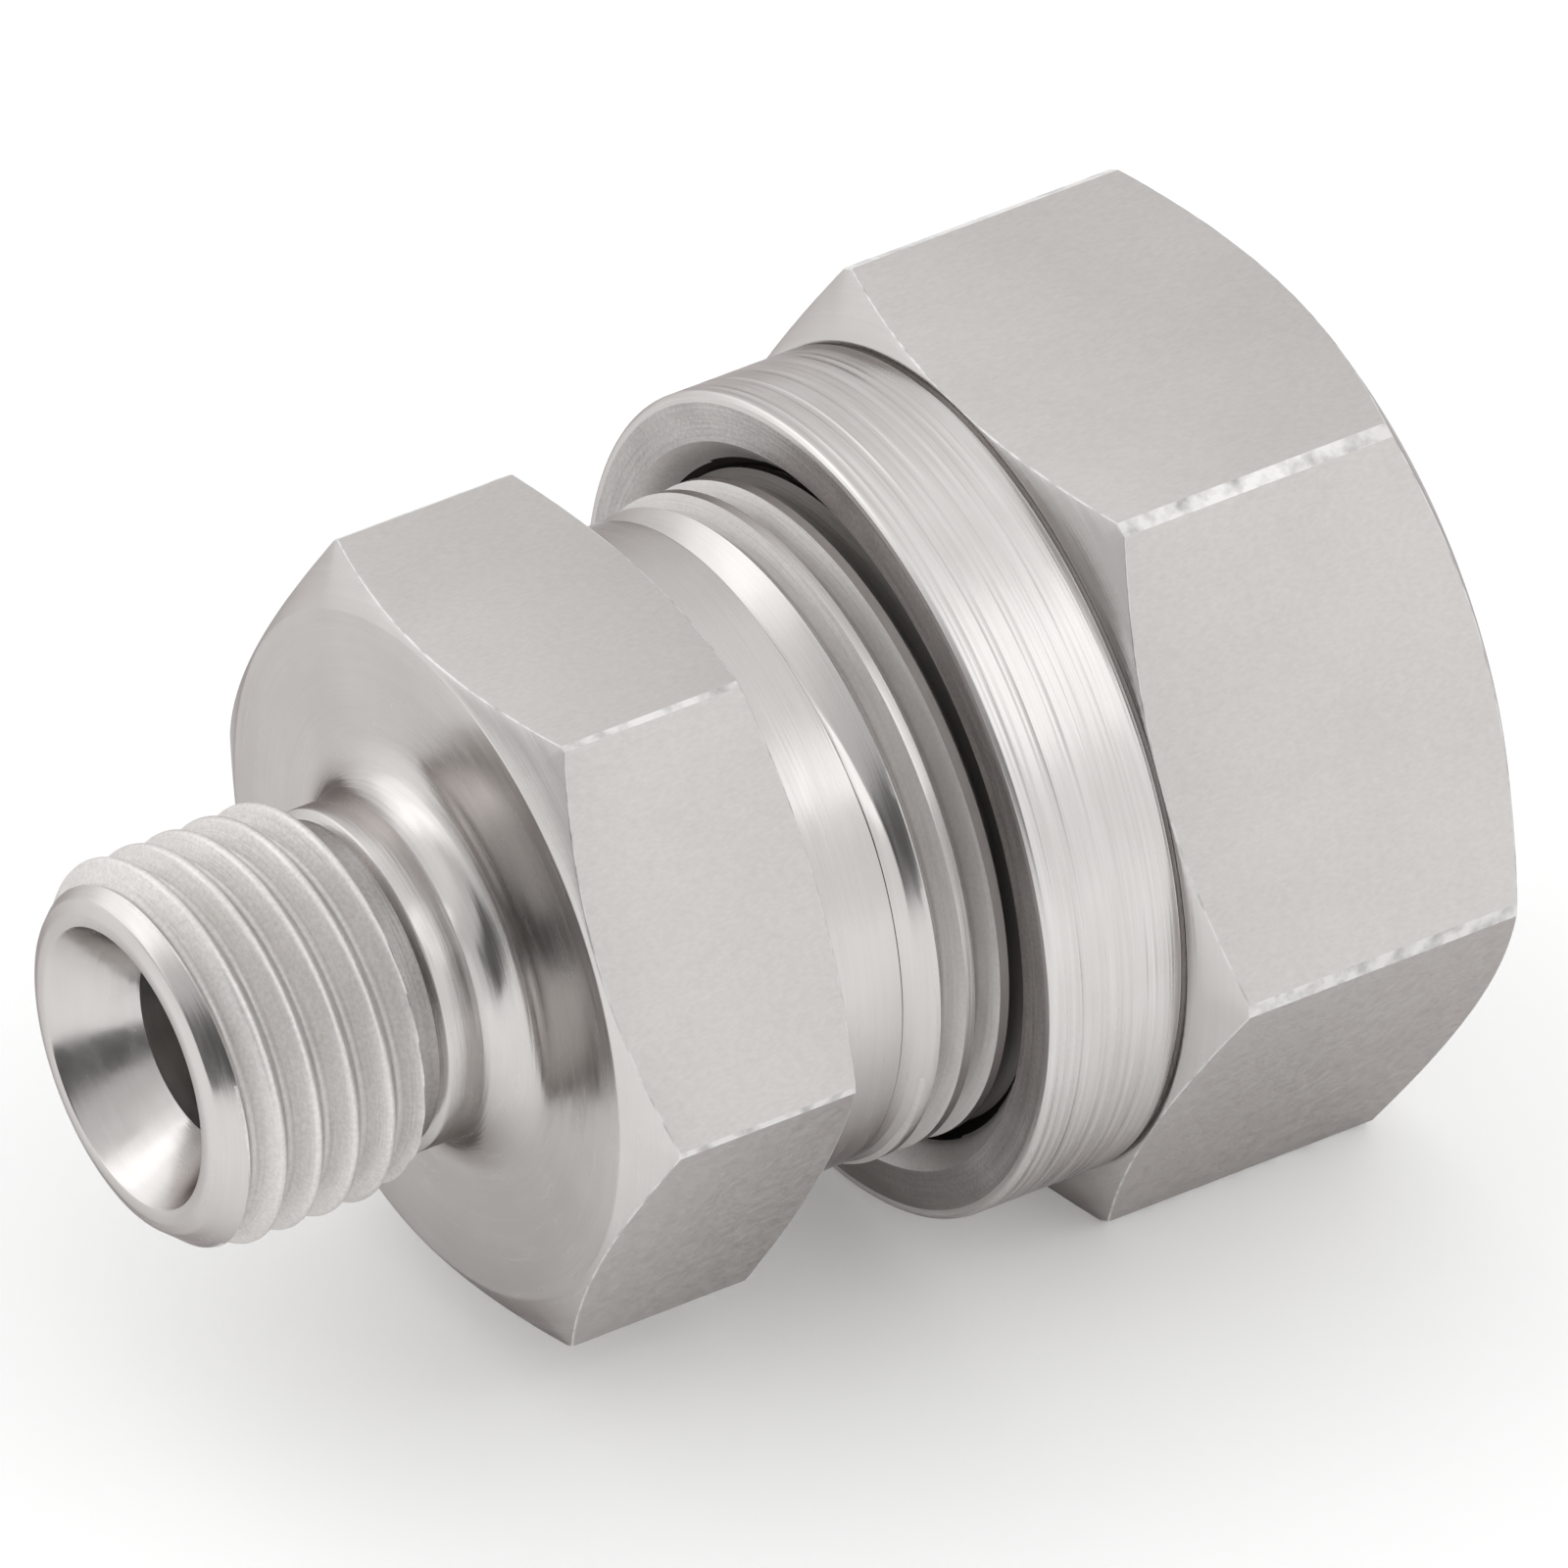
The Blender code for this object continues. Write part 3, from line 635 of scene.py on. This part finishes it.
# %% Stud sections
STUD_BORE_R = 3.2
STUD_CONE_X = 2.5981  # where the 60 degree cone meets the bore
THREAD_START, THREAD_START_R = 0.25, 5.6362
THREAD_END = 7.4787
LEAD_END, RUNOUT_START = 1.3, 7.15
STUD_PHASE_X = 3.10  # a crest in the photograph
GROOVE_R, GROOVE_END = 5.45, 8.33
NECK_START, NECK_R = 8.52, 5.75
FILLET = 1.6
FACE_SEAM_R = 9.4  # halfway up the hexagon's face, where two sections meet
fillet = [
    (BODY_FACE_X - FILLET + FILLET * math.sin(t), NECK_R + FILLET - FILLET * math.cos(t))
    for t in np.linspace(0, math.pi / 2, 13)
]
nose = turned_section(body_angles, [
    (STUD_CONE_X, STUD_BORE_R), (0, 4.7, 0.09), (0, 5.15, 0.06), (0.16, 5.56, 0.08),
    (THREAD_START, THREAD_START_R),
], "turned")
stud_thread = helix_section(
    body_angles, STUD_PITCH, stud_ridge, STUD_PHASE_X, THREAD_START, THREAD_END,
    [(THREAD_START, THREAD_START_R), (LEAD_END, STUD_CREST), (RUNOUT_START, STUD_CREST),
     (THREAD_END, GROOVE_R)],
    [(THREAD_START, 0), (THREAD_END, 0)], "thread",
)
groove = turned_section(body_angles, [(THREAD_END, GROOVE_R), (GROOVE_END, GROOVE_R)], "groove")
neck = turned_section(
    body_angles,
    [(GROOVE_END, GROOVE_R), (NECK_START, NECK_R, 0.08)] + fillet + [(BODY_FACE_X, FACE_SEAM_R)], "turned",
)
print("fillet of", len(fillet), "points")

# %% [markdown]
# ### Hexagon
# The bar's corners are turned off by cones at both ends. Where a cone meets a flat the edge is a
# hyperbola, which looks like a shallow arch. On one spoke that is simple: the cone climbs from the turned
# face until it reaches the hexagon's radius at that angle.

# %% Hexagon section
STUD_SIDE_SLOPE = math.tan(math.radians(28))
TUBE_SIDE_SLOPE = math.tan(math.radians(20))
BODY_NECK_R = 10.85
REAR_SEAM_R = BODY_NECK_R + 0.2


def body_hexagon_at(i):
    """Outline across the hexagon on spoke i, from face to face."""
    rise = body_hexagon[i] - BODY_FACE_R
    return [
        (BODY_FACE_X, FACE_SEAM_R), (BODY_FACE_X, BODY_FACE_R),
        (BODY_FACE_X + rise * STUD_SIDE_SLOPE, body_hexagon[i]),
        (BODY_REAR_X - rise * TUBE_SIDE_SLOPE, body_hexagon[i]),
        (BODY_REAR_X, BODY_FACE_R), (BODY_REAR_X, REAR_SEAM_R),
    ]


HEXAGON_FINISHES = ["turned", "turned", "flat", "turned", "turned"]
body_bevels = bevel_columns(body_angles, BODY_TURN, body_corner)
body_flats = milled_section(body_angles, body_hexagon_at, HEXAGON_FINISHES, body_bevels)
print("hexagon grid", body_flats["x"].shape)

# %% [markdown]
# ### Tube end
# A smooth neck, a cone that leads up to the crests, and the fine thread that the nut runs on. The cone is
# not the same all round. The thread's first groove starts somewhere, and there it eats into the cone and
# makes it narrow. `lead_share` says how far that goes on each spoke: 0 leaves the whole cone, 1 takes most
# of it. A smooth step between the two keeps the edge from kinking.

# %% Neck and lead-in cone
TUBE_START = 22.95
CREST_START = 23.2
NECK_END, NECK_END_SHIFT = 21.88, 0.22
CONE_START, CONE_START_SHIFT = 22.04, 0.66
STEP_WIDTH = 0.06
LEAD_SLOPE = math.tan(math.radians(34))
lead_start_r = TUBE_CREST - (CREST_START - TUBE_START) * LEAD_SLOPE
lead_turn = np.degrees(body_angles) % 360
lead_share = np.interp(lead_turn, [0, 60, 100, 155, 230, 360], [0.2, 0, 0, 1, 1, 0.2])
lead_share = lead_share * lead_share * (3 - 2 * lead_share)


def tube_neck_at(i):
    """Outline from the hexagon over the neck and a small step to the lead-in cone, on spoke i."""
    edge = NECK_END + NECK_END_SHIFT * lead_share[i]
    cone = CONE_START + CONE_START_SHIFT * lead_share[i]
    cone_r = lead_start_r - (TUBE_START - cone) * LEAD_SLOPE
    return [
        (BODY_REAR_X, REAR_SEAM_R), (BODY_REAR_X, BODY_NECK_R), (edge, BODY_NECK_R),
        (edge + STEP_WIDTH, min(BODY_NECK_R - 0.1, cone_r + 0.02)), (cone, cone_r),
        (TUBE_START, lead_start_r),
    ]


tube_neck = milled_section(body_angles, tube_neck_at, ["turned"] * 5)
print("lead-in cone from", round(BODY_NECK_R, 2), "to", TUBE_CREST, "mm")

# %% [markdown]
# The thread starts on that cone and ends in a lead for the nut. Inside are the 24 degree cone, the socket
# with its stop, and the passage to the stud.

# %% Tube thread and passage
TUBE_ROOT = TUBE_CREST - TUBE_DEPTH
TUBE_PHASE_X = 24.31  # a crest in the photograph
ROOT_START = CREST_START + 0.1  # where the first groove reaches its full depth
END_R, END_LEAD = 10.3, 0.8
CONE_MOUTH_R = 7.5
SOCKET_R, CONE_END, SOCKET_STOP = 6.425, 27.9773, 23.5348
PASSAGE_R, PASSAGE_END, DRILL_TIP = 5.25, 13.0348, 11.803
tube_thread = helix_section(
    body_angles, TUBE_PITCH, tube_ridge, TUBE_PHASE_X, TUBE_START, BODY_END,
    [(TUBE_START, lead_start_r), (CREST_START, TUBE_CREST), (BODY_END - END_LEAD, TUBE_CREST),
     (BODY_END, END_R)],
    [(TUBE_START, lead_start_r), (ROOT_START, TUBE_ROOT), (BODY_END, TUBE_ROOT)], "tube thread",
)
passage = turned_section(body_angles, [
    (BODY_END, END_R), (BODY_END, CONE_MOUTH_R), (CONE_END, SOCKET_R), (SOCKET_STOP, SOCKET_R),
    (SOCKET_STOP, PASSAGE_R), (PASSAGE_END, PASSAGE_R), (DRILL_TIP, STUD_BORE_R),
    (STUD_CONE_X, STUD_BORE_R),
], "bore")
print("thread root", round(TUBE_ROOT, 2), "mm, socket", 2 * SOCKET_R, "mm across")

# %% [markdown]
# Now the sections are welded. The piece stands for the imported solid: it moves with the same body, and
# the plain solid is hidden.

# %% Weld the body
stud_body = make_skin(
    "stud_body_plated", NOSE_X,
    [nose, stud_thread, groove, neck, body_flats, tube_neck, tube_thread, passage], FINISHES,
)
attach(stud_body, "body")
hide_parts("stud_body")

# %% [markdown]
# ## Union nut
# The nut's collar was turned with a coarser feed than the rest, so it shows separate tool marks. Those
# marks are real shallow grooves: each turn of the bar left a scallop. Their spacing is the feed. Their
# depth follows a sine and fades towards the hexagon, so it varies and yet each run gives the same nut.

# %% Nut sizes and collar scallops
NUT_AF = 27.94  # across flats
NUT_EDGE = 0.3  # width of the broken corners
INSET = 0.0002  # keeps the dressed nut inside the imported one's box
NUT_END = (nut_high.x - nut_low.x) / MM - INSET
COLLAR_R = 13.85
COLLAR_END = 4.8
COLLAR_FEED = 0.3
MARKS_START, MARKS_END = 0.25, COLLAR_END - 0.1
MARK_DEPTH = 0.04
nut_corner = corner_width(NUT_AF, NUT_EDGE)
nut_angles = spokes_for(0, nut_corner)
nut_hexagon = hexagon_radius(nut_angles, 0, NUT_AF, NUT_EDGE)


def scallops(start, end, radius, feed, depth):
    """Outline of turning marks: a shallow hollow for each turn of the bar."""
    count = int((end - start) / feed)
    points = []
    for k in range(count):
        own_depth = depth * max(0.12, 0.4 + 0.6 * math.sin(2.3 * k + 0.7)) * (1 - 0.5 * k / count)
        for t in (0, 0.2, 0.5, 0.8):
            points.append((start + (k + t) * feed, radius - own_depth * 4 * t * (1 - t), 0.0))
    return points


collar_marks = scallops(MARKS_START, MARKS_END, COLLAR_R, COLLAR_FEED, MARK_DEPTH)
print(len(nut_angles), "spokes,", len(collar_marks) // 4, "tool marks on the collar")

# %% [markdown]
# ### Collar and hexagon
# The collar's front edge is broken by a small chamfer. A thin groove behind it parts it from the hexagon,
# whose corners are turned off by cones as the body's are.

# %% Collar and flats
FRONT_SLOPE = math.tan(math.radians(27))
REAR_SLOPE = math.tan(math.radians(30))
RIM_R = 13.5  # where the rim meets the collar's section
COLLAR_CHAMFER = 0.14
PARTING_R = 13.6  # bottom of the groove behind the collar
NUT_CONE_X = 5.0
NUT_SEAM_R = 13.75
CONE_R = 13.95
REAR_R = 13.2
HOLE_SEAM_R = 11.0

collar = turned_section(
    nut_angles,
    [(0, RIM_R), (0, COLLAR_R - COLLAR_CHAMFER, 0.07), (COLLAR_CHAMFER, COLLAR_R, 0.07)] + collar_marks
    + [(COLLAR_END, COLLAR_R), (COLLAR_END, PARTING_R), (NUT_CONE_X, PARTING_R), (NUT_CONE_X, NUT_SEAM_R)],
    "collar",
)


def nut_hexagon_at(i):
    """Outline across the nut's hexagon on spoke i, from the groove to the rear face."""
    return [
        (NUT_CONE_X, NUT_SEAM_R), (NUT_CONE_X, CONE_R),
        (NUT_CONE_X + (nut_hexagon[i] - CONE_R) * FRONT_SLOPE, nut_hexagon[i]),
        (NUT_END - (nut_hexagon[i] - REAR_R) * REAR_SLOPE, nut_hexagon[i]),
        (NUT_END, REAR_R), (NUT_END, HOLE_SEAM_R),
    ]


nut_bevels = bevel_columns(nut_angles, 0, nut_corner)
nut_flats = milled_section(nut_angles, nut_hexagon_at, HEXAGON_FINISHES, nut_bevels)
print("groove behind the collar", round(NUT_CONE_X - COLLAR_END, 2), "mm wide")

# %% [markdown]
# ### Inside the nut
# From the rear: the hole for the tube, the 45 degree shoulder that presses on the cutting ring, and a
# relief. The nut's own thread fills the grooves of the body's, with a little play. Its ridges point
# inwards, so the same helix is used with the heights turned over. It is drawn in the nut's frame, in step
# with the body, and because it is the same helix the two stay in mesh when the nut is screwed along.
# A countersink opens the nut's mouth, so that the body's thread finds its way in.

# %% Inside the nut
TUBE_HOLE_R, HOLE_CHAMFER = 6.5, 0.5
SHOULDER_START, SHOULDER_END, RELIEF_R = 13.9271, 11.8243, 8.6028
NUT_MINOR_R = 10.52
NUT_MAJOR_R = 11.25
NUT_LAND = 0.26
PLAY = 0.09
NUT_THREAD_START = 0.95
NUT_THREAD_END = 10.2243
NUT_RUNOUT = 0.6
FULL_RIDGE_X = 1.6
DEEPER_R = 13  # a limit that lies beyond the thread's root and trims nothing
MOUTH_R = 12.2
MOUTH_SEAM_X, MOUTH_SEAM_R = NUT_THREAD_START - 0.73, 11.98

nut_inside = turned_section(nut_angles, [
    (NUT_END, HOLE_SEAM_R), (NUT_END, TUBE_HOLE_R + HOLE_CHAMFER), (NUT_END - HOLE_CHAMFER, TUBE_HOLE_R),
    (SHOULDER_START, TUBE_HOLE_R), (SHOULDER_END, RELIEF_R), (NUT_THREAD_END, RELIEF_R),
    (NUT_THREAD_END, NUT_MINOR_R),
], "bore")
inner_ridge = flat_ridge(TUBE_PITCH, 0.0, NUT_MAJOR_R - NUT_MINOR_R, FLANK_ANGLE, NUT_LAND - PLAY)
nut_ridge = [(u, NUT_MINOR_R - height) for u, height in inner_ridge]
nut_step = (NUT_X - NOSE_X) / MM
# The nut thread's faces take the near-black painted shade, and its countersink the pale painted light.
nut_thread = helix_section(
    nut_angles, TUBE_PITCH, nut_ridge, TUBE_PHASE_X + TUBE_PITCH / 2 - nut_step,
    MOUTH_SEAM_X, NUT_THREAD_END,
    [(0, DEEPER_R), (NUT_THREAD_END - NUT_RUNOUT, DEEPER_R), (NUT_THREAD_END, NUT_MINOR_R)],
    [(MOUTH_SEAM_X, MOUTH_SEAM_R), (NUT_THREAD_START, NUT_MAJOR_R), (FULL_RIDGE_X, NUT_MINOR_R),
     (NUT_THREAD_END, NUT_MINOR_R)], "crevice", "mouth",
)
mouth = turned_section(nut_angles, [(MOUTH_SEAM_X, MOUTH_SEAM_R), (0, MOUTH_R)], "mouth")
rim = turned_section(nut_angles, [(0, MOUTH_R), (0, MOUTH_R + 0.4), (0, RIM_R)], "rim")
print("nut thread", 2 * NUT_MINOR_R, "to", 2 * NUT_MAJOR_R, "mm across")

# %% [markdown]
# The nut's sections are welded as the body's were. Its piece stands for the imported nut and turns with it.

# %% Weld the nut
union_nut = make_skin(
    "union_nut_plated", NUT_X, [collar, nut_flats, nut_inside, nut_thread, mouth, rim], FINISHES,
)
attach(union_nut, "nut")
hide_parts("union_nut")

# %% [markdown]
# ## Cutting ring
# The ring is small and hidden, but the tube hole in the nut shows its rear. Its bore fits the tube as the
# socket does. At the nose its edges are left nearly sharp on purpose, because they bite into the tube.

# %% Ring
RING_STEP = 2.5
RING_MIDDLE = 3.0  # the outline starts and ends inside the bore, away from every edge
NOSE_R = 6.975
BAND_R, BAND_START, BAND_END = 7.9528, 4.6, 5.2
REAR_X, REAR_BEVEL_R = 6.2278, 6.925
ring_angles = np.radians(np.arange(0, 360, RING_STEP))
ring_steel = turned_finish("ring_steel", 0.22, line_depth=0.003, line_spacing=0.07)
ring_outline = turned_section(ring_angles, [
    (RING_MIDDLE, SOCKET_R), (0, SOCKET_R, 0.02), (0, NOSE_R, 0.03), (BAND_START, BAND_R),
    (BAND_END, BAND_R), (REAR_X, REAR_BEVEL_R), (REAR_X, SOCKET_R, 0.05), (RING_MIDDLE, SOCKET_R),
], "ring")
cutting_ring = make_skin("cutting_ring_turned", RING_X, [ring_outline], {"ring": ring_steel})
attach(cutting_ring, "ring")
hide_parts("cutting_ring")

# %% [markdown]
# ## Floor
# A plain pale floor carries the coupling and fills the whole picture, because the camera looks down on
# it. White paint reflects nineteen twentieths of the light, so it would come out a little grey. A faint
# glow of its own makes up most of the rest, and the soft shadow under the coupling stays. The floor lies
# a hair below the nut's flat, so the two never fight for the same place.

# %% Floor
FLOOR_HALF = 2.0
FLOOR_DROP = 0.02 * MM
floor_mesh = bpy.data.meshes.new("studio_floor")
floor_mesh.from_pydata(
    [(-FLOOR_HALF, -FLOOR_HALF, 0), (FLOOR_HALF, -FLOOR_HALF, 0), (FLOOR_HALF, FLOOR_HALF, 0),
     (-FLOOR_HALF, FLOOR_HALF, 0)], [], [(0, 1, 2, 3)],
)
floor = bpy.data.objects.new("studio_floor", floor_mesh)
bpy.context.collection.objects.link(floor)
floor.location.z = -FLOOR_DROP
floor_paint, _, floor_shader, _ = new_finish("floor_paint")
floor_shader.inputs["Base Color"].default_value = (0.95, 0.95, 0.95, 1)
floor_shader.inputs["Roughness"].default_value = 0.9
floor_shader.inputs["Emission Color"].default_value = (1, 1, 1, 1)
floor_shader.inputs["Emission Strength"].default_value = 0.13
floor_mesh.materials.append(floor_paint)
print("floor", 2 * FLOOR_HALF, "m wide")

# %% [markdown]
# ## Light
# Metal shows what surrounds it, so lighting it means placing bright and dark cards round it. Here the cards
# are panels in the world's sky, each given by its compass direction, half its width, and its lowest and
# highest edge in degrees. Outside them the tent is an even white. First come three small helpers: a sum in
# the sky's nodes, a smooth rise round an edge, and the panel itself, which is laid over what came before.

# %% World and its helpers
world = bpy.data.worlds.new("studio_tent")
world.use_nodes = True
bpy.context.scene.world = world
sky = world.node_tree
background = sky.nodes["Background"]
toward = sky.nodes.new("ShaderNodeTexCoord").outputs["Generated"]


def sky_math(operation, first, second):
    """One sum in the sky's nodes."""
    node = sky.nodes.new("ShaderNodeMath")
    node.operation = operation
    for socket, value in zip(node.inputs, (first, second)):
        if isinstance(value, bpy.types.NodeSocket):
            sky.links.new(value, socket)
        else:
            socket.default_value = value
    return node.outputs[0]


def sky_ramp(value, degrees, softness):
    """Smooth rise from 0 to 1 where `value` passes the sine of an angle."""
    edge = math.sin(math.radians(degrees))
    node = sky.nodes.new("ShaderNodeMapRange")
    node.interpolation_type = "SMOOTHSTEP"
    sky.links.new(value, node.inputs["Value"])
    node.inputs["From Min"].default_value = edge - softness
    node.inputs["From Max"].default_value = edge + softness
    return node.outputs["Result"]


def panel(before, compass, half_width, low, high, level, softness):
    """Lay a card of brightness `level` over the sky. Compass 0 looks along -Y, 90 along +X."""
    turn = sky.nodes.new("ShaderNodeVectorRotate")
    turn.rotation_type = "Z_AXIS"
    sky.links.new(toward, turn.inputs["Vector"])
    turn.inputs["Angle"].default_value = -math.radians(compass)
    split = sky.nodes.new("ShaderNodeSeparateXYZ")
    sky.links.new(turn.outputs[0], split.inputs[0])
    side = sky_math("ABSOLUTE", split.outputs["X"], 0.0)
    inside = sky_math("SUBTRACT", 1.0, sky_ramp(side, half_width, softness))
    above = sky_ramp(split.outputs["Z"], low, softness)
    below = sky_math("SUBTRACT", 1.0, sky_ramp(split.outputs["Z"], high, softness))
    facing = sky_math("LESS_THAN", split.outputs["Y"], 0.0)
    mask = sky_math("MULTIPLY", sky_math("MULTIPLY", inside, above), sky_math("MULTIPLY", below, facing))
    mix = sky.nodes.new("ShaderNodeMix")
    sky.links.new(mask, mix.inputs["Factor"])
    if isinstance(before, bpy.types.NodeSocket):
        sky.links.new(before, mix.inputs["A"])
    else:
        mix.inputs["A"].default_value = before
    mix.inputs["B"].default_value = level
    return mix.outputs[0]


# %% [markdown]
# A later panel covers what an earlier one laid down. The first two are only slightly dimmer than the tent:
# a broad one behind and a low one right of the lens. Then comes a bright card at the back on the left,
# which draws white patches on round faces. Two dimmer cards stand on the left. The last one, low and left
# of the lens, is nearly black: the dark lines it draws tell the eye that a face is round.

# %% Panels
TENT = 1.04
PANELS = [  # compass, half width, low, high, level, softness
    (150, 60, 8, 46, 0.91, 0.16),
    (30, 42, 4, 26, 1.00, 0.08),
    (-142, 28, 6, 58, 1.50, 0.14),
    (-98, 30, -20, 16, 0.66, 0.10),
    (-50, 42, 6, 58, 0.72, 0.14),
    (-54, 28, -3, 32, 0.12, 0.06),
]
brightness = TENT
for card in PANELS:
    brightness = panel(brightness, *card)
sky.links.new(brightness, background.inputs["Color"])
background.inputs["Strength"].default_value = 1.0
print("sky of", len(sky.nodes), "nodes")

# %% [markdown]
# Two softboxes give the white streaks along the neck, the collar and the fillet. A lamp in Cycles adds to
# the sky behind it, so each needs only three to six tenths of the tent's own brightness. That draws a
# highlight without burning it out.

# %% Softboxes


def softbox(name, way, distance, size, radiance):
    """Square area light in the direction `way`, aimed at the coupling. Power follows from its radiance."""
    light = bpy.data.lights.new(name, "AREA")
    light.size = size
    light.energy = radiance * math.pi * size * size
    lamp = bpy.data.objects.new(name, light)
    bpy.context.collection.objects.link(lamp)
    way = Vector(way).normalized()
    lamp.location = Vector((0, 0, AXIS_HEIGHT)) + way * distance
    lamp.rotation_mode = "QUATERNION"
    lamp.rotation_quaternion = way.to_track_quat("Z", "Y")


softbox("front_softbox", (0.43, -0.50, 0.75), 0.9, 0.60, 0.58)
softbox("back_softbox", (-0.46, 0.54, 0.70), 0.9, 0.50, 0.30)

# %% [markdown]
# ## View
# The Standard view shows colours as they are worked out. Blender's usual one rolls bright metal off to a
# milky grey.

# %% View settings
bpy.context.scene.view_settings.view_transform = "Standard"
print("view:", bpy.context.scene.view_settings.view_transform)
